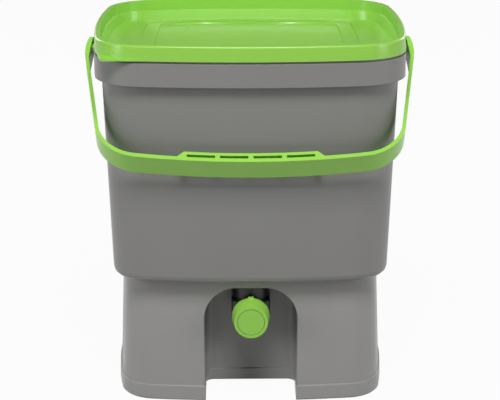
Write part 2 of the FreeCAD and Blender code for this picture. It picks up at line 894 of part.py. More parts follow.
def make_drain_grate():
    """Slotted plate with a lip round it and two finger holes, on four cross-shaped feet."""
    plate_low = floor_top + grate_height
    plate_high = plate_low + grate_thickness
    lip_high = plate_low + grate_lip_height
    edge = bin_outline(plate_low, bin_wall + grate_wall_gap)
    whole = prism(edge, plate_low, lip_high)
    grate = whole.cut(prism(offset(edge, -grate_lip_wall), plate_high, lip_high))
    solid_radius = finger_hole_radius + finger_hole_margin
    slots = grate_slots(edge, plate_low, plate_high)
    holes = []
    for side in (-1, 1):
        x = side * finger_hole_x
        y = side * finger_hole_y
        slots = slots.cut(upright(solid_radius, x, y, plate_low, plate_high))
        holes.append(upright(finger_hole_radius, x, y, plate_low, plate_high))
    grate = grate.cut(slots).cut(Part.makeCompound(holes))
    half = grate_foot_half_width
    thin = grate_foot_wall / 2
    feet = []
    for side in (-1, 1):
        for end in (-1, 1):
            x = side * edge.half_width * grate_foot_share
            y = end * edge.half_depth * grate_foot_share
            feet.append(box(x - half, x + half, y - thin, y + thin, floor_top, plate_low))
            feet.append(box(x - thin, x + thin, y - half, y + half, floor_top, plate_low))
    return grate.fuse(feet).removeSplitter()


def make_outlet_strainer():
    """Slotted disc over the outlet, with a sleeve that plugs into it."""
    sleeve_radius = outlet_bore - strainer_clearance
    inside = sleeve_radius - strainer_thickness
    high = floor_top + strainer_thickness
    strainer = upright(strainer_radius, 0, outlet_y, floor_top, high)
    strainer = strainer.fuse(upright(sleeve_radius, 0, outlet_y, bin_base, floor_top))
    strainer = strainer.cut(upright(inside, 0, outlet_y, bin_base, floor_top))
    half_wide = strainer_slot_width / 2
    for index in range(strainer_slots):
        x = (index - (strainer_slots - 1) / 2) * strainer_slot_pitch
        reach = math.sqrt(inside ** 2 - x ** 2) - half_wide
        slot = box(x - half_wide, x + half_wide, outlet_y - reach, outlet_y + reach, floor_top, high)
        strainer = strainer.cut(slot)
    return strainer.removeSplitter()


def make_tap_gasket():
    ring = upright(outlet_radius, 0, outlet_y, flange_top, outlet_bottom)
    return ring.cut(upright(outlet_bore, 0, outlet_y, flange_top, outlet_bottom))


def make_tap_nut():
    """Union nut that clamps the tap's flange under the outlet."""
    nut = upright(nut_radius, 0, outlet_y, nut_bottom, nut_top)
    nut = nut.cut(upright(outlet_radius + press_clearance, 0, outlet_y, flange_low, nut_top))
    return nut.cut(upright(tap_inlet_radius + seat_gap, 0, outlet_y, nut_bottom, flange_low))


def make_tap_body():
    """Tap body: flange, inlet, housing, cross barrel for the spindle and spout."""
    flange = upright(outlet_radius, 0, outlet_y, flange_low, flange_top)
    inlet = upright(tap_inlet_radius, 0, outlet_y, housing_top, flange_low)
    half = tap_housing_half_width
    housing = box(-half, half, barrel_front_y, barrel_back_y, housing_bottom, housing_top)
    upright_edges = [edge for edge in housing.Edges if edge.BoundBox.ZLength > near]
    housing = housing.makeFillet(tap_housing_corner, upright_edges)
    barrel = along_y(tap_barrel_radius, barrel_front_y, barrel_back_y)
    spout_low = tap_axis_height - spout_length
    spout = upright(spout_radius, 0, outlet_y, spout_low, tap_axis_height)
    body = flange.fuse([inlet, housing, barrel, spout])
    body = body.cut(along_y(tap_barrel_bore, barrel_front_y, barrel_back_y - tap_barrel_end_wall))
    body = body.cut(upright(spout_bore, 0, outlet_y, spout_low, tap_axis_height))
    body = body.cut(upright(tap_inlet_bore, 0, outlet_y, tap_axis_height, flange_top))
    return body.removeSplitter()


def seal_ring_places():
    """Middle planes of the two seal rings, one each side of the port."""
    return (outlet_y - spindle_port_radius - seal_ring_setback / 2, outlet_y + seal_ring_setback)


def make_tap_spindle():
    """Turning plug with a cross port, two seal grooves and a stem for the knob."""
    radius = tap_barrel_bore - running_clearance
    back = barrel_back_y - tap_barrel_end_wall - seat_gap
    front = barrel_front_y + spindle_end_gap
    spindle = along_y(radius, front, back)
    stem_front = knob_back_y - knob_stem_depth
    stem = along_y(stem_radius, stem_front, front)
    flat = box(
        -stem_radius,
        stem_radius,
        stem_front,
        knob_back_y,
        tap_axis_height + stem_radius - stem_flat,
        tap_axis_height + stem_radius,
    )
    spindle = spindle.fuse(stem.cut(flat))
    port = along_x(spindle_port_radius, -radius - over, radius + over, outlet_y, tap_axis_height)
    spindle = spindle.cut(port)
    floor_radius = radius - seal_ring_width
    for y in seal_ring_places():
        half = seal_ring_width / 2 + seal_groove_gap
        groove = along_y(radius + over, y - half, y + half)
        spindle = spindle.cut(groove.cut(along_y(floor_radius, y - half, y + half)))
    screw_hole = along_y(screw_radius, stem_front, stem_front + screw_length)
    return spindle.cut(screw_hole).removeSplitter()


def make_spindle_seals():
    """Two rubber rings round the spindle."""
    outer = tap_barrel_bore - seal_ring_bore_gap
    inner = tap_barrel_bore - running_clearance - seal_ring_width + seal_groove_gap
    rings = []
    for y in seal_ring_places():
        front = y - seal_ring_width / 2
        back = y + seal_ring_width / 2
        rings.append(along_y(outer, front, back).cut(along_y(inner, front, back)))
    return Part.makeCompound(rings)


def make_spindle_retainer():
    """Forked clip on the front of the barrel that keeps the spindle in."""
    front = barrel_front_y - retainer_thickness
    half = retainer_half_width
    low = tap_axis_height - half
    plate = box(-half, half, front, barrel_front_y, low, tap_axis_height + half)
    slot_radius = stem_radius + running_clearance
    slot = along_y(slot_radius, front, barrel_front_y)
    slot = slot.fuse(box(-slot_radius, slot_radius, front, barrel_front_y, low, tap_axis_height))
    return plate.cut(slot)


def make_tap_knob():
    """Round knob with a band at the back, a pointer lug and a socket for the stem."""
    back = knob_back_y
    front = knob_front_y
    band_front = back - knob_back_band
    profile = [
        Vector(0, back, 0),
        Vector(knob_back_radius, back, 0),
        Vector(knob_back_radius, band_front, 0),
        Vector(knob_front_radius, front, 0),
        Vector(0, front, 0),
    ]
    knob = turned(profile, Vector(0, 0, 0), Vector(0, 1, 0))
    knob.translate(Vector(0, 0, tap_axis_height))
    lug = box(
        -knob_lug_width / 2,
        knob_lug_width / 2,
        back - knob_lug_length,
        back,
        tap_axis_height + knob_back_radius - knob_lug_root,
        tap_axis_height + knob_lug_reach,
    )
    knob = knob.fuse(lug)
    hole_end = back - knob_stem_depth - seat_gap
    stem_hole = along_y(stem_radius + press_clearance, hole_end, back)
    flat_low = tap_axis_height + stem_radius - stem_flat + press_clearance
    flat = box(-stem_radius, stem_radius, hole_end, back, flat_low, flat_low + stem_radius)
    knob = knob.cut(stem_hole.cut(flat))
    cap_seat = front + cap_thickness + knob_cap_gap
    knob = knob.cut(along_y(cap_radius + seat_gap, front, cap_seat))
    head_seat = cap_seat + screw_head_height + knob_cap_gap
    knob = knob.cut(along_y(screw_head_radius + seat_gap, cap_seat, head_seat))
    knob = knob.cut(along_y(screw_radius + press_clearance, head_seat, hole_end))
    return knob.removeSplitter()


def make_knob_cap():
    """Round disc let into the face of the knob."""
    return along_y(cap_radius, knob_front_y, knob_front_y + cap_thickness)


def make_knob_screw():
    """Pan head screw that pulls the knob on to the spindle."""
    seat = knob_front_y + cap_thickness + knob_cap_gap + screw_head_height + knob_cap_gap
    head_front = seat - screw_head_height
    head = along_y(screw_head_radius, head_front, seat)
    shank = along_y(screw_radius - press_clearance, seat, seat + screw_length)
    half_long = screw_recess_length / 2
    half_wide = screw_recess_width / 2
    recess_back = head_front + screw_recess_depth
    cross = []
    for turn in (0, 90):
        bar = box(-half_long, half_long, head_front, recess_back, -half_wide, half_wide)
        bar.rotate(Vector(0, 0, 0), Vector(0, 1, 0), turn)
        bar.translate(Vector(0, 0, tap_axis_height))
        cross.append(bar)
    return head.fuse(shank).cut(Part.makeCompound(cross)).removeSplitter()


nodes = {
    "stand": make_stand,
    "bin_body": make_bin_body,
    "lid": make_lid,
    "lid_seal": make_lid_seal,
    "carry_handle": make_carry_handle,
    "drain_grate": make_drain_grate,
    "outlet_strainer": make_outlet_strainer,
    "tap_gasket": make_tap_gasket,
    "tap_nut": make_tap_nut,
    "tap_body": make_tap_body,
    "tap_spindle": make_tap_spindle,
    "spindle_seals": make_spindle_seals,
    "spindle_retainer": make_spindle_retainer,
    "tap_knob": make_tap_knob,
    "knob_cap": make_knob_cap,
    "knob_screw": make_knob_screw,
}

os.makedirs("parts", exist_ok=True)
print("handle hangs at", round(handle_hang_angle(), 3), "degrees")
for name, make in nodes.items():
    shape = make()
    shape.exportStep("parts/" + name + ".step")
    print(name, len(shape.Solids), round(shape.Volume / 1000, 2), shape.isValid())
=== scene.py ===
import math
from collections import namedtuple

import bmesh
import bpy
from mathutils import Matrix, Vector


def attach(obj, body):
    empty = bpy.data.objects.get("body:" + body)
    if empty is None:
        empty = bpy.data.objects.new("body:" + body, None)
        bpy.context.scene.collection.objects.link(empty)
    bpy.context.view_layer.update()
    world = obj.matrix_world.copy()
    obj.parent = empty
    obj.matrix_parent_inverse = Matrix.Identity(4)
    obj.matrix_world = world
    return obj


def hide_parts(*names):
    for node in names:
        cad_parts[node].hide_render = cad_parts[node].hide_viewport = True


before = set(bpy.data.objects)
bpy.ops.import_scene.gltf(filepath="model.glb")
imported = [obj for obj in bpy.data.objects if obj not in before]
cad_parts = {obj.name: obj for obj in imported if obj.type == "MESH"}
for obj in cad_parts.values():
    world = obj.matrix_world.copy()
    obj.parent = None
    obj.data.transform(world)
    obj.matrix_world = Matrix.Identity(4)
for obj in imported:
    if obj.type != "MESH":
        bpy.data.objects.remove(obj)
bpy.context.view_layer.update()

bl_info = {
    "name": "Fermenting bin finishes",
    "version": (1, 0, 0),
    "blender": (4, 5, 0),
    "location": "3D View > Sidebar > Fermenting bin",
    "description": "Plastic finishes, moulded lid and studio for the kitchen fermenting bin",
    "category": "Object",
}

MM = 0.001

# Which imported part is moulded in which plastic
KNOB_PARTS = ("tap_knob", "knob_cap")
BLACK_PARTS = ("tap_nut", "tap_body", "spindle_retainer")
DARK_PARTS = ("drain_grate", "outlet_strainer", "tap_spindle")
RUBBER_PARTS = ("lid_seal", "tap_gasket", "spindle_seals")

# Rounded rectangle with bowed sides, seen from above: corner and bows are radii, in millimetres
Outline = namedtuple("Outline", "half_width half_depth corner front_bow side_bow")

# Rim of the bin under the lid, and the heights of the lid's levels
RIM = Outline(153.17, 127.17, 49.97, 810.97, 650.97)
RIM_WALL = 2.2
RIM_CLEARANCE = 0.45
SKIRT_BOTTOM = 356.8
LID_TOP = 371.5
LEDGE_HEIGHT = 361.0
FLOOR_HEIGHT = 351.5

# How far each outline of the lid stands in from the one before it
SKIRT_DRAFT = 0.59
LEDGE_WIDTH = 2.3
FLOOR_SIDE_MARGIN = 5.4
FLOOR_FRONT_MARGIN = 6.0
FIELD_FRONT_MARGIN = 6.3
PANEL_FRONT_MARGIN = 12.3
PANEL_SIDE_MARGIN = 15.0

# Radii at the top and at the foot of the field's and the panel's step
FIELD_CORNER = 14.0
FIELD_FOOT_CORNER = 30.0
PANEL_CORNER = 6.0
PANEL_FRONT_BOW = 420.0
PANEL_FOOT_BOW = 300.0
INNER_SIDE_BOW = 2500.0

# Lifting tab at the lid's left front corner: where it leaves the skirt, its tip and its inner end
TAB_SIDE_Y = -62.0
TAB_FRONT_INSET = 58.0
TAB_TIP_INSET_X = 13.5
TAB_TIP_INSET_Y = 6.8
TAB_TIP_RADIUS = 4.0
TAB_TIP_STEPS = 5
TAB_INNER_REACH = 30.0
TAB_THICKNESS = 1.8
# The tab's underside stands this little above the skirt's, so that the two don't share a face
TAB_RISE = 0.01

# Thin web in the stand's front above the arch, and the stand's front that it carries on
STAND_HALF_DEPTH = 101.33
STAND_BOW = 870.0
STAND_DRAFT = 2.35
WEB_TOP = 129.4
WEB_BOTTOM = 120.5
WEB_HALF_WIDTH = 11.0
WEB_THICKNESS = 1.2
WEB_STEPS = 6

# Steps along half a front side, a corner, half a side and a rounded edge of a moulded outline
FRONT_STEPS = 8
CORNER_STEPS = 12
SIDE_STEPS = 6
ROUND_STEPS = 4

# Vertices nearer than this are one, when a quarter is mirrored
WELD_DISTANCE = 0.001

# Edges turn sharp past this angle, and a face whose normal is this upright is a flat
SHARP_ANGLE = 28
FLAT_NORMAL = 0.9999
# Flats below this height keep a crease all round
CREASE_HEIGHT = LEDGE_HEIGHT + 1

# Radii of edges that the plastics soften, and the width of the lid's softened edges
STAND_LIP = 2.0
KNOB_ROUND = 1.4
LID_EDGE_WIDTH = 0.45
LID_EDGE_STEPS = 2

# Typical refraction of the plastics and the rubber, and the width of the plastics' flow clouds
POLYPROPYLENE_IOR = 1.49
RUBBER_IOR = 1.52
CLOUD_MM = 60
BEVEL_SAMPLES = 8

# The photograph's camera, seen from the front of the bin
PHOTO_WIDTH = 500
FOCAL_PIXELS = 1549.5
SENSOR_WIDTH = 36.0
CAMERA_DISTANCE = 1.5514
CAMERA_HEIGHT = 0.6726
CAMERA_PITCH = 17.59
CAMERA_TURN = 0.53
CAMERA_ROLL = 0.08
CAMERA_SHIFT = 0.00056

# The soft lights stand this far from a point inside the bin
LIGHT_DISTANCE = 2.0
LIGHT_TARGET_HEIGHT = 0.2

# Share of the floor that glows white to the camera. The rest is paper, which keeps the shadow
FLOOR_GLOW = 0.96


def linear(hex_colour):
    """sRGB hex colour as linear red, green, blue and alpha."""
    channels = []
    for start in (0, 2, 4):
        value = int(hex_colour[start:start + 2], 16) / 255
        if value <= 0.04045:
            channels.append(value / 12.92)
        else:
            channels.append(((value + 0.055) / 1.055) ** 2.4)
    return (*channels, 1.0)


def add_node(material, kind, settings=(), links=()):
    """Adds a node, gives it its settings and joins its inputs to other nodes' outputs."""
    tree = material.node_tree
    node = tree.nodes.new(kind)
    for name, value in dict(settings).items():
        if isinstance(name, str) and hasattr(node, name):
            setattr(node, name, value)
        else:
            node.inputs[name].default_value = value
    for name, source in dict(links).items():
        tree.links.new(source, node.inputs[name])
    return node


def empty_material(name):
    """A new material with no nodes in it."""
    material = bpy.data.materials.new(name)
    material.use_nodes = True
    material.node_tree.nodes.clear()
    return material


def per_metre(size_mm):
    """Noise scale at which one speckle is about that many millimetres across."""
    return 1.0 / (size_mm * MM)


def moulded_plastic(
    name, colour, colour_shift, gloss_shift, roughness, grain_mm=0.0, grain_depth_mm=0.0, round_mm=0.0
):
    """Moulded polypropylene: faint flow clouds and, where given, a fine grain and softened edges."""
    material = empty_material(name)
    place = add_node(material, "ShaderNodeTexCoord").outputs["Object"]
    cloud = add_node(
        material,
        "ShaderNodeTexNoise",
        {"Scale": per_metre(CLOUD_MM), "Detail": 0.0},
        {"Vector": place},
    )
    darker = [channel * (1 - colour_shift) for channel in colour[:3]]
    lighter = [channel * (1 + colour_shift) for channel in colour[:3]]
    tint = add_node(
        material,
        "ShaderNodeMix",
        {"data_type": "RGBA", 6: (*darker, 1.0), 7: (*lighter, 1.0)},
        {0: cloud.outputs["Fac"]},
    )
    duller = roughness + gloss_shift
    shinier = roughness - gloss_shift
    gloss = add_node(
        material,
        "ShaderNodeMapRange",
        {"From Min": 0.2, "From Max": 0.8, "To Min": shinier, "To Max": duller},
        {"Value": cloud.outputs["Fac"]},
    )
    looks = {"Base Color": tint.outputs[2], "Roughness": gloss.outputs["Result"]}
    if grain_depth_mm > 0:
        grain = add_node(
            material,
            "ShaderNodeTexNoise",
            {"Scale": per_metre(grain_mm), "Detail": 2.0, "Roughness": 0.6},
            {"Vector": place},
        )
        soft_edge = add_node(
            material, "ShaderNodeBevel", {"samples": BEVEL_SAMPLES, "Radius": round_mm * MM}
        )
        bump = add_node(
            material,
            "ShaderNodeBump",
            {"Strength": 1.0, "Distance": grain_depth_mm * MM},
            {"Height": grain.outputs["Fac"], "Normal": soft_edge.outputs["Normal"]},
        )
        looks["Normal"] = bump.outputs["Normal"]
    shader = add_node(material, "ShaderNodeBsdfPrincipled", {"IOR": POLYPROPYLENE_IOR}, looks)
    add_node(material, "ShaderNodeOutputMaterial", {}, {"Surface": shader.outputs["BSDF"]})
    return material


def zinc_plated_steel(name):
    """Zinc plated steel screw: bright, slightly blue, with faint turning lines."""
    material = empty_material(name)
    place = add_node(material, "ShaderNodeTexCoord").outputs["Object"]
    lines = add_node(
        material,
        "ShaderNodeTexNoise",
        {"Scale": per_metre(0.4), "Detail": 2.0},
        {"Vector": place},
    )
    bump = add_node(
        material,
        "ShaderNodeBump",
        {"Strength": 0.4, "Distance": 0.02 * MM},
        {"Height": lines.outputs["Fac"]},
    )
    shader = add_node(
        material,
        "ShaderNodeBsdfPrincipled",
        {"Base Color": linear("C3C6C9"), "Metallic": 1.0, "Roughness": 0.32},
        {"Normal": bump.outputs["Normal"]},
    )
    add_node(material, "ShaderNodeOutputMaterial", {}, {"Surface": shader.outputs["BSDF"]})
    return material


def seal_rubber(name):
    """Moulded black rubber: dull, with a fine dusty bloom."""
    material = empty_material(name)
    place = add_node(material, "ShaderNodeTexCoord").outputs["Object"]
    bloom = add_node(
        material,
        "ShaderNodeTexNoise",
        {"Scale": per_metre(4), "Detail": 4.0},
        {"Vector": place},
    )
    tint = add_node(
        material,
        "ShaderNodeMix",
        {"data_type": "RGBA", 6: linear("1A1A1A"), 7: linear("2B2B2A")},
        {0: bloom.outputs["Fac"]},
    )
    shader = add_node(
        material,
        "ShaderNodeBsdfPrincipled",
        {"IOR": RUBBER_IOR, "Roughness": 0.62},
        {"Base Color": tint.outputs[2]},
    )
    add_node(material, "ShaderNodeOutputMaterial", {}, {"Surface": shader.outputs["BSDF"]})
    return material


def finish_nodes(names, material):
    """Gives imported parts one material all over."""
    for name in names:
        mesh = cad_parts[name].data
        mesh.materials.clear()
        mesh.materials.append(material)


def mesh_piece(name, shape, material, body, node=None):
    """Makes a piece from a bmesh in millimetres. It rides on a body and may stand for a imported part."""
    bmesh.ops.recalc_face_normals(shape, faces=shape.faces)
    mark_creases(shape)
    bmesh.ops.scale(shape, vec=(MM, MM, MM), verts=shape.verts)
    mesh = bpy.data.meshes.new(name)
    shape.to_mesh(mesh)
    shape.free()
    mesh.materials.append(material)
    piece = bpy.data.objects.new(name, mesh)
    bpy.context.scene.collection.objects.link(piece)
    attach(piece, body)
    if node:
        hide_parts(node)
    return piece


def mark_creases(shape):
    """Shades smooth, with a crease at each sharp edge and round each low flat, so that it stays flat."""
    for face in shape.faces:
        face.smooth = True
    for edge in shape.edges:
        flats = [face for face in edge.link_faces if abs(face.normal.z) > FLAT_NORMAL]
        rims_flat = len(flats) == 1 and edge.verts[0].co.z < CREASE_HEIGHT
        sharp = edge.calc_face_angle(math.pi) > math.radians(SHARP_ANGLE)
        edge.smooth = not (rims_flat or sharp)


def soften(piece, width_mm, steps):
    """Rounds a piece's sharp edges as a mould does."""
    bevel = piece.modifiers.new("softened_edges", "BEVEL")
    bevel.width = width_mm * MM
    bevel.segments = steps
    bevel.limit_method = "ANGLE"
    bevel.angle_limit = math.radians(SHARP_ANGLE)
    bevel.harden_normals = True


def offset(outline, distance):
    """The same outline, moved outwards by a distance everywhere."""
    return Outline(*[value + distance for value in outline])


def corner_centre(outline):
    """Centre of the front right corner arc, which runs smoothly into both bowed sides."""
    front = Vector((0.0, outline.front_bow - outline.half_depth))
    side = Vector((outline.half_width - outline.side_bow, 0.0))
    to_front = outline.front_bow - outline.corner
    to_side = outline.side_bow - outline.corner
    between = side - front
    along = (to_front ** 2 - to_side ** 2 + between.length_squared) / (2 * between.length)
    across = math.sqrt(to_front ** 2 - along ** 2)
    step = between.normalized()
    choices = [front + step * along + Vector((step.y, -step.x)) * across * way for way in (1, -1)]
    return max(choices, key=lambda point: point.x - point.y)


def ring(shape, outline, height):
    """Edges of a rounded rectangle with bowed sides: one vertex swept along a quarter, then mirrored."""
    front = Vector((0.0, outline.front_bow - outline.half_depth))
    side = Vector((outline.half_width - outline.side_bow, 0.0))
    corner = corner_centre(outline)
    to_front = corner - front
    to_side = corner - side
    front_angle = math.atan2(to_front.x, -to_front.y)
    side_angle = math.atan2(-to_side.y, to_side.x)
    corner_angle = math.pi / 2 - front_angle - side_angle
    sweeps = (
        (front, front_angle, FRONT_STEPS),
        (corner, corner_angle, CORNER_STEPS),
        (side, side_angle, SIDE_STEPS),
    )
    last = shape.verts.new((0.0, -outline.half_depth, height))
    quarter = [last]
    for centre, angle, steps in sweeps:
        before = set(shape.verts)
        made = bmesh.ops.spin(
            shape,
            geom=[last],
            cent=(centre.x, centre.y, height),
            axis=(0, 0, 1),
            dvec=(0, 0, 0),
            angle=angle,
            steps=steps,
            use_duplicate=False,
        )
        quarter += [vert for vert in shape.verts if vert not in before]
        last = [item for item in made["geom_last"] if isinstance(item, bmesh.types.BMVert)][0]
    for axis in ("X", "Y"):
        edges = {edge for vert in quarter for edge in vert.link_edges}
        made = bmesh.ops.mirror(
            shape,
            geom=quarter + list(edges),
            matrix=Matrix.Identity(4),
            merge_dist=WELD_DISTANCE,
            axis=axis,
        )
        quarter += [item for item in made["geom"] if isinstance(item, bmesh.types.BMVert)]
        quarter = [vert for vert in quarter if vert.is_valid]
    return list({edge for vert in quarter for edge in vert.link_edges})


def skin(shape, levels):
    """Walls from each outline to the next, closed by a flat face at both ends."""
    rings = [ring(shape, outline, height) for outline, height in levels]
    for low, high in zip(rings, rings[1:]):
        bmesh.ops.bridge_loops(shape, edges=low + high)
    for end in (rings[0], rings[-1]):
        bmesh.ops.contextual_create(shape, geom=end)


def rounded(outline, height, radius):
    """Levels round a top edge, from the upright wall inwards to the flat."""
    levels = []
    for step in range(1, ROUND_STEPS + 1):
        angle = math.radians(90 * step / ROUND_STEPS)
        inset = radius * (1 - math.cos(angle))
        drop = radius * (1 - math.sin(angle))
        levels.append((offset(outline, -inset), height - drop))
    return levels


class PlasticColours(bpy.types.PropertyGroup):
    grey: bpy.props.FloatVectorProperty(
        name="Grey",
        description="Colour of the bin",
        subtype="COLOR",
        size=4,
        default=linear("868583"),
    )
    # Painted light: the stand's grey is a shade lighter than the bin's, standing in for the extra light
    # the stand catches
    stand_lit_grey: bpy.props.FloatVectorProperty(
        name="Stand grey",
        description="Colour of the stand, a shade lighter than the bin",
        subtype="COLOR",
        size=4,
        default=linear("989795"),
    )
    lime: bpy.props.FloatVectorProperty(
        name="Lime",
        description="Colour of the lid and the knob",
        subtype="COLOR",
        size=4,
        default=linear("94D150"),
    )
    # Painted light: the handle's lime is a shade paler than the lid's, standing in for light on its
    # downward-facing bar
    handle_lit_lime: bpy.props.FloatVectorProperty(
        name="Handle lime",
        description="Colour of the handle, a shade lighter than the lid",
        subtype="COLOR",
        size=4,
        default=linear("9ADA53"),
    )
    black: bpy.props.FloatVectorProperty(
        name="Black",
        description="Colour of the tap and its nut",
        subtype="COLOR",
        size=4,
        default=linear("1B1B1B"),
    )
    dark_grey: bpy.props.FloatVectorProperty(
        name="Dark grey",
        description="Colour of the grate, the strainer and the tap's plug",
        subtype="COLOR",
        size=4,
        default=linear("454543"),
    )
    edge_round: bpy.props.FloatProperty(
        name="Edge round",
        description="Radius of the softened edges, in millimetres",
        default=0.7,
        min=0.0,
    )


class LidSizes(bpy.types.PropertyGroup):
    wall: bpy.props.FloatProperty(
        name="Wall", description="Thickness of the lid in millimetres", default=1.7
    )
    edge_radius: bpy.props.FloatProperty(
        name="Edge radius", description="Radius of the lid's outer top edge in millimetres", default=2.2
    )
    floor_corner: bpy.props.FloatProperty(
        name="Floor corner", description="Corner radius of the sunk floor in millimetres", default=34.0
    )
    field_half_width: bpy.props.FloatProperty(
        name="Field",
        description="Half the width of the lower field in the floor, in millimetres",
        default=111.0,
    )
    step: bpy.props.FloatProperty(
        name="Step", description="Height of each step in the floor, in millimetres", default=1.6
    )


class StudioSettings(bpy.types.PropertyGroup):
    floor_size: bpy.props.FloatProperty(
        name="Floor size",
        description="Side of the square floor",
        default=8.0,
        unit="LENGTH",
    )
    front_power: bpy.props.FloatProperty(
        name="Front light",
        description="Power of the soft light high above the camera",
        default=30.0,
        unit="POWER",
    )
    left_power: bpy.props.FloatProperty(
        name="Left light",
        description="Power of the low soft light on the left of the camera",
        default=11.2,
        unit="POWER",
    )
    right_power: bpy.props.FloatProperty(
        name="Right light",
        description="Power of the low soft light on the right of the camera",
        default=9.7,
        unit="POWER",
    )
    back_power: bpy.props.FloatProperty(
        name="Back lights",
        description="Power of each of the two soft lights behind the bin",
        default=9.0,
        unit="POWER",
    )
    sky_level: bpy.props.FloatProperty(
        name="Room light",
        description="Level of the even light from all round",
        default=0.03,
        min=0.0,
    )
    room_reflection: bpy.props.FloatProperty(
        name="Room in reflections",
        description="How much of the white room shows in glossy reflections",
        default=0.15,
        min=0.0,
        max=1.0,
    )


class BIN_OT_grey_mouldings(bpy.types.Operator):
    """Satin grey polypropylene on the bin and the stand"""

    bl_idname = "fermenting_bin.grey_mouldings"
    bl_label = "Grey mouldings"

    def execute(self, context):
        colours = context.scene.plastic_colours
        # Satin surface, so its highlights are broad and pale, and the grain shows only close up
        plastic = moulded_plastic(
            "grey_polypropylene_moulded",
            colours.grey,
            colour_shift=0.03,
            gloss_shift=0.03,
            roughness=0.38,
            grain_mm=0.7,
            grain_depth_mm=0.03,
            round_mm=colours.edge_round,
        )
        finish_nodes(("bin_body",), plastic)
        # The stand is painted a shade lighter than the bin, standing in for the extra light that its
        # upward-leaning front catches, with a broad pale lip round its arch
        stand_plastic = moulded_plastic(
            "lit_grey_polypropylene_moulded",
            colours.stand_lit_grey,
            colour_shift=0.03,
            gloss_shift=0.03,
            roughness=0.38,
            grain_mm=0.7,
            grain_depth_mm=0.03,
            round_mm=STAND_LIP,
        )
        finish_nodes(("stand",), stand_plastic)
        return {"FINISHED"}


class BIN_OT_arch_web(bpy.types.Operator):
    """Thin web that closes the stand's front between the arch and the bin, in front of the tap's nut"""

    bl_idname = "fermenting_bin.arch_web"
    bl_label = "Web above the arch"

    def execute(self, context):
        shape = bmesh.new()
        low_y = -STAND_HALF_DEPTH - (WEB_TOP - WEB_BOTTOM) * math.tan(math.radians(STAND_DRAFT))
        low = shape.verts.new((0.0, low_y, WEB_BOTTOM))
        high = shape.verts.new((0.0, -STAND_HALF_DEPTH, WEB_TOP))
        edge = shape.edges.new((low, high))
        centre = (0.0, STAND_BOW - STAND_HALF_DEPTH, 0.0)
        half_angle = WEB_HALF_WIDTH / STAND_BOW
        bmesh.ops.rotate(
            shape, verts=[low, high], cent=centre, matrix=Matrix.Rotation(-half_angle, 3, "Z")
        )
        bmesh.ops.spin(
            shape,
            geom=[low, high, edge],
            cent=centre,
            axis=(0, 0, 1),
            dvec=(0, 0, 0),
            angle=2 * half_angle,
            steps=WEB_STEPS,
            use_duplicate=False,
        )
        bmesh.ops.recalc_face_normals(shape, faces=shape.faces)
        bmesh.ops.solidify(shape, geom=shape.faces[:], thickness=WEB_THICKNESS)
        # The web takes the stand's grey, painted a shade lighter for the light the stand catches
        plastic = bpy.data.materials["lit_grey_polypropylene_moulded"]
        mesh_piece("arch_web", shape, plastic, "base")
        return {"FINISHED"}


class BIN_OT_lime_mouldings(bpy.types.Operator):
    """Semi-gloss lime polypropylene on the lid, the handle and the knob"""

    bl_idname = "fermenting_bin.lime_mouldings"
    bl_label = "Lime mouldings"

    def execute(self, context):
        colours = context.scene.plastic_colours
        # Polished mould with no grain, so edges catch narrow bright lines. The lid is given this one
        moulded_plastic(
            "lime_polypropylene_moulded",
            colours.lime,
            colour_shift=0.006,
            gloss_shift=0.004,
            roughness=0.28,
        )
        # The handle is painted a shade paler than the lid, standing in for light that its downward-facing
        # bar does not get from the lamps
        handle_plastic = moulded_plastic(
            "lit_lime_polypropylene_moulded",
            colours.handle_lit_lime,
            colour_shift=0.006,
            gloss_shift=0.004,
            roughness=0.28,
        )
        finish_nodes(("carry_handle",), handle_plastic)
        # The knob's face meets its side in a round edge that catches a bright ring
        knob_plastic = moulded_plastic(
            "lime_polypropylene_knob_moulded",
            colours.lime,
            colour_shift=0.006,
            gloss_shift=0.004,
            roughness=0.28,
            grain_mm=1.1,
            grain_depth_mm=0.004,
            round_mm=KNOB_ROUND,
        )
        finish_nodes(KNOB_PARTS, knob_plastic)
        return {"FINISHED"}


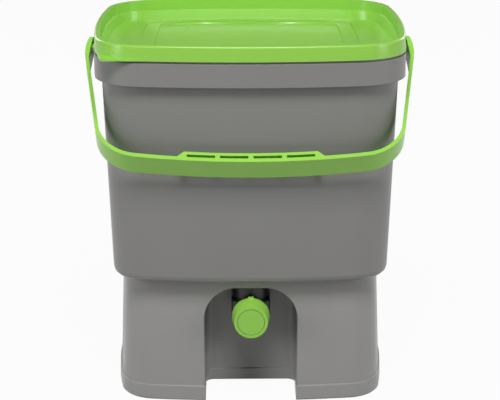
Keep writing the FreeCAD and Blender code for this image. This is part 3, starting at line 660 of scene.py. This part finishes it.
class BIN_OT_lid(bpy.types.Operator):
    """Tray shaped lid: channel over the rim, ledge, sunk floor with two steps and a lifting tab"""

    bl_idname = "fermenting_bin.lid"
    bl_label = "Lid"

    def execute(self, context):
        sizes = context.scene.lid_sizes
        shape = bmesh.new()
        skin(shape, self.section(sizes))
        self.add_tab(shape, offset(RIM, RIM_CLEARANCE + sizes.wall))
        plastic = bpy.data.materials["lime_polypropylene_moulded"]
        lid = mesh_piece("lid_moulding", shape, plastic, "lid", "lid")
        soften(lid, LID_EDGE_WIDTH, LID_EDGE_STEPS)
        return {"FINISHED"}

    def section(self, sizes):
        """Outlines and heights from the middle of the lid's underside, over its edge, to its middle."""
        wall = sizes.wall
        channel_outside = offset(RIM, RIM_CLEARANCE)
        channel_inside = offset(RIM, -RIM_WALL - RIM_CLEARANCE)
        skirt_low = offset(channel_outside, wall)
        skirt_high = offset(skirt_low, -SKIRT_DRAFT)
        recess = offset(channel_inside, -wall)
        ledge = offset(recess, -LEDGE_WIDTH)
        floor = recess._replace(
            half_width=recess.half_width - FLOOR_SIDE_MARGIN,
            half_depth=recess.half_depth - FLOOR_FRONT_MARGIN,
            corner=sizes.floor_corner,
        )
        field = Outline(
            half_width=sizes.field_half_width,
            half_depth=floor.half_depth - FIELD_FRONT_MARGIN,
            corner=FIELD_CORNER,
            front_bow=floor.front_bow,
            side_bow=INNER_SIDE_BOW,
        )
        field_foot = field._replace(corner=FIELD_FOOT_CORNER)
        panel = Outline(
            half_width=sizes.field_half_width - PANEL_SIDE_MARGIN,
            half_depth=floor.half_depth - PANEL_FRONT_MARGIN,
            corner=PANEL_CORNER,
            front_bow=PANEL_FRONT_BOW,
            side_bow=INNER_SIDE_BOW,
        )
        panel_foot = panel._replace(front_bow=PANEL_FOOT_BOW)
        field_level = FLOOR_HEIGHT - sizes.step
        panel_level = field_level - sizes.step
        under = [
            (offset(field, wall), panel_level - wall),
            (offset(field, wall), FLOOR_HEIGHT - wall),
            (offset(floor, wall), FLOOR_HEIGHT - wall),
            (offset(ledge, wall), LEDGE_HEIGHT - wall),
            (channel_inside, LEDGE_HEIGHT - wall),
            (channel_inside, LID_TOP - wall),
            (channel_outside, LID_TOP - wall),
            (channel_outside, SKIRT_BOTTOM),
        ]
        outside = [
            (skirt_low, SKIRT_BOTTOM),
            (skirt_high, LID_TOP - sizes.edge_radius),
            *rounded(skirt_high, LID_TOP, sizes.edge_radius),
        ]
        inside = [
            (recess, LID_TOP),
            (recess, LEDGE_HEIGHT),
            (ledge, LEDGE_HEIGHT),
            (floor, FLOOR_HEIGHT),
            (field, FLOOR_HEIGHT),
            (field_foot, field_level),
            (panel, field_level),
            (panel_foot, panel_level),
        ]
        return under + outside + inside

    def add_tab(self, shape, skirt):
        """Flat tab that squares off the left front corner."""
        side_run = math.sqrt(skirt.side_bow ** 2 - TAB_SIDE_Y ** 2)
        side_x = skirt.half_width - skirt.side_bow + side_run
        front_x = skirt.half_width - TAB_FRONT_INSET
        front_run = math.sqrt(skirt.front_bow ** 2 - front_x ** 2)
        front_y = skirt.front_bow - skirt.half_depth - front_run
        inner = corner_centre(skirt)
        corners = [
            (-side_x, TAB_SIDE_Y),
            (TAB_TIP_INSET_X - skirt.half_width, TAB_TIP_INSET_Y - skirt.half_depth),
            (-front_x, front_y),
            (-inner.x - TAB_INNER_REACH, inner.y - TAB_INNER_REACH),
        ]
        plan = [shape.verts.new((x, y, SKIRT_BOTTOM + TAB_RISE)) for x, y in corners]
        face = bmesh.ops.contextual_create(shape, geom=plan)["faces"]
        raised = bmesh.ops.extrude_face_region(shape, geom=face, use_keep_orig=True)
        top = [item for item in raised["geom"] if isinstance(item, bmesh.types.BMVert)]
        bmesh.ops.translate(shape, verts=top, vec=(0, 0, TAB_THICKNESS))
        tip = min(top, key=lambda vert: vert.co.x + vert.co.y)
        upright = [edge for edge in tip.link_edges if edge.other_vert(tip) not in top]
        bmesh.ops.bevel(
            shape,
            geom=upright,
            offset=TAB_TIP_RADIUS,
            segments=TAB_TIP_STEPS,
            profile=0.5,
            affect="EDGES",
            material=-1,
        )


class BIN_OT_tap(bpy.types.Operator):
    """Black and dark grey plastics, rubber rings and the steel screw of the tap and the inner parts"""

    bl_idname = "fermenting_bin.tap"
    bl_label = "Tap and inner parts"

    def execute(self, context):
        colours = context.scene.plastic_colours
        # Small parts, so their edges are half as round as the bin's
        small_round = colours.edge_round / 2
        # Nearly black and fairly shiny, so that only the edges show in the niche
        black = moulded_plastic(
            "black_polypropylene_moulded",
            colours.black,
            colour_shift=0.05,
            gloss_shift=0.03,
            roughness=0.34,
            grain_mm=0.8,
            grain_depth_mm=0.02,
            round_mm=small_round,
        )
        # A little duller than the black, so its slots and holes stay readable
        dark = moulded_plastic(
            "dark_grey_polypropylene_moulded",
            colours.dark_grey,
            colour_shift=0.05,
            gloss_shift=0.03,
            roughness=0.42,
            grain_mm=0.8,
            grain_depth_mm=0.03,
            round_mm=small_round,
        )
        finish_nodes(BLACK_PARTS, black)
        finish_nodes(DARK_PARTS, dark)
        finish_nodes(RUBBER_PARTS, seal_rubber("black_rubber_moulded"))
        finish_nodes(("knob_screw",), zinc_plated_steel("zinc_plated_steel_turned"))
        return {"FINISHED"}


class BIN_OT_stage(bpy.types.Operator):
    """White floor and room, soft lights and the photograph's camera"""

    bl_idname = "fermenting_bin.stage"
    bl_label = "Stage"

    def execute(self, context):
        settings = context.scene.studio_settings
        self.make_floor(settings)
        self.make_room(context.scene, settings)
        self.make_lights(settings)
        self.make_camera(context.scene)
        context.scene.view_settings.view_transform = "Standard"
        return {"FINISHED"}

    def make_floor(self, settings):
        shape = bmesh.new()
        bmesh.ops.create_grid(shape, x_segments=1, y_segments=1, size=settings.floor_size / 2)
        mesh = bpy.data.meshes.new("floor")
        shape.to_mesh(mesh)
        shape.free()
        material = empty_material("white_paper")
        paper = add_node(material, "ShaderNodeBsdfDiffuse", {"Color": linear("B0B0B0")})
        glow = add_node(material, "ShaderNodeEmission", {"Color": linear("FFFFFF"), "Strength": 1.0})
        path = add_node(material, "ShaderNodeLightPath")
        seen = add_node(
            material,
            "ShaderNodeMath",
            {"operation": "MAXIMUM"},
            {0: path.outputs["Is Camera Ray"], 1: path.outputs["Is Glossy Ray"]},
        )
        through = add_node(
            material,
            "ShaderNodeMath",
            {"operation": "MAXIMUM"},
            {0: seen.outputs["Value"], 1: path.outputs["Is Transmission Ray"]},
        )
        share = add_node(
            material,
            "ShaderNodeMath",
            {"operation": "MULTIPLY", 1: FLOOR_GLOW},
            {0: through.outputs["Value"]},
        )
        mixed = add_node(
            material,
            "ShaderNodeMixShader",
            {},
            {0: share.outputs["Value"], 1: paper.outputs["BSDF"], 2: glow.outputs["Emission"]},
        )
        add_node(material, "ShaderNodeOutputMaterial", {}, {"Surface": mixed.outputs["Shader"]})
        mesh.materials.append(material)
        floor = bpy.data.objects.new("floor", mesh)
        bpy.context.scene.collection.objects.link(floor)

    def make_room(self, scene, settings):
        world = bpy.data.worlds.new("white_room")
        world.use_nodes = True
        world.node_tree.nodes.clear()
        scene.world = world
        path = add_node(world, "ShaderNodeLightPath")
        seen = add_node(
            world,
            "ShaderNodeMath",
            {"operation": "MAXIMUM"},
            {0: path.outputs["Is Camera Ray"], 1: path.outputs["Is Transmission Ray"]},
        )
        mirrored = add_node(
            world,
            "ShaderNodeMath",
            {"operation": "MULTIPLY_ADD", 1: settings.room_reflection},
            {0: path.outputs["Is Glossy Ray"], 2: seen.outputs["Value"]},
        )
        level = add_node(
            world,
            "ShaderNodeMapRange",
            {"To Min": settings.sky_level, "To Max": 1.0},
            {"Value": mirrored.outputs["Value"]},
        )
        light = add_node(
            world,
            "ShaderNodeBackground",
            {"Color": linear("FFFFFF")},
            {"Strength": level.outputs["Result"]},
        )
        add_node(world, "ShaderNodeOutputWorld", {}, {"Surface": light.outputs["Background"]})

    def make_lights(self, settings):
        """Soft panels round the bin, each with its turn from the front, its height angle and its size."""
        self.panel("front_light", (0, 58), (0.8, 0.6), settings.front_power)
        self.panel("left_light", (-65, 15), (0.5, 0.8), settings.left_power)
        self.panel("right_light", (65, 15), (0.5, 0.8), settings.right_power)
        self.panel("back_left_light", (-145, 20), (0.8, 0.8), settings.back_power)
        self.panel("back_right_light", (145, 20), (0.8, 0.8), settings.back_power)

    def panel(self, name, angles, size, power):
        """Rectangular soft light that faces the middle of the bin."""
        light = bpy.data.lights.new(name, "AREA")
        light.shape = "RECTANGLE"
        light.size, light.size_y = size
        light.energy = power
        lamp = bpy.data.objects.new(name, light)
        bpy.context.scene.collection.objects.link(lamp)
        turn, height_angle = angles
        around = Matrix.Rotation(math.radians(turn), 4, "Z")
        raised = Matrix.Rotation(math.radians(90 - height_angle), 4, "X")
        away = Matrix.Translation((0.0, 0.0, LIGHT_DISTANCE))
        target = Matrix.Translation((0.0, 0.0, LIGHT_TARGET_HEIGHT))
        lamp.matrix_world = target @ around @ raised @ away

    def make_camera(self, scene):
        camera = bpy.data.cameras.new("photo_camera")
        camera.sensor_width = SENSOR_WIDTH
        camera.lens = FOCAL_PIXELS / PHOTO_WIDTH * SENSOR_WIDTH
        camera.shift_x = CAMERA_SHIFT
        holder = bpy.data.objects.new("photo_camera", camera)
        scene.collection.objects.link(holder)
        turn = Matrix.Rotation(math.radians(-CAMERA_TURN), 4, "Z")
        place = Matrix.Translation((0.0, -CAMERA_DISTANCE, CAMERA_HEIGHT))
        tilt = Matrix.Rotation(math.radians(90 - CAMERA_PITCH), 4, "X")
        roll = Matrix.Rotation(math.radians(-CAMERA_ROLL), 4, "Z")
        holder.matrix_world = turn @ place @ tilt @ roll
        scene.camera = holder


class BIN_PT_finishes(bpy.types.Panel):
    """Lists the steps and the colours"""

    bl_label = "Fermenting bin"
    bl_idname = "BIN_PT_finishes"
    bl_space_type = "VIEW_3D"
    bl_region_type = "UI"
    bl_category = "Fermenting bin"

    def draw(self, context):
        layout = self.layout
        scene = context.scene
        for group in (scene.plastic_colours, scene.lid_sizes, scene.studio_settings):
            column = layout.column()
            for name in group.__annotations__:
                column.prop(group, name)
        for operator in OPERATORS:
            layout.operator(operator.bl_idname)


OPERATORS = (
    BIN_OT_grey_mouldings,
    BIN_OT_arch_web,
    BIN_OT_lime_mouldings,
    BIN_OT_lid,
    BIN_OT_tap,
    BIN_OT_stage,
)
CLASSES = (PlasticColours, LidSizes, StudioSettings, *OPERATORS, BIN_PT_finishes)


def register():
    for cls in CLASSES:
        bpy.utils.register_class(cls)
    bpy.types.Scene.plastic_colours = bpy.props.PointerProperty(type=PlasticColours)
    bpy.types.Scene.lid_sizes = bpy.props.PointerProperty(type=LidSizes)
    bpy.types.Scene.studio_settings = bpy.props.PointerProperty(type=StudioSettings)


def unregister():
    del bpy.types.Scene.studio_settings
    del bpy.types.Scene.lid_sizes
    del bpy.types.Scene.plastic_colours
    for cls in reversed(CLASSES):
        bpy.utils.unregister_class(cls)


def main():
    register()
    bpy.ops.fermenting_bin.grey_mouldings()
    bpy.ops.fermenting_bin.arch_web()
    bpy.ops.fermenting_bin.lime_mouldings()
    bpy.ops.fermenting_bin.lid()
    bpy.ops.fermenting_bin.tap()
    bpy.ops.fermenting_bin.stage()


if __name__ == "__main__":
    main()
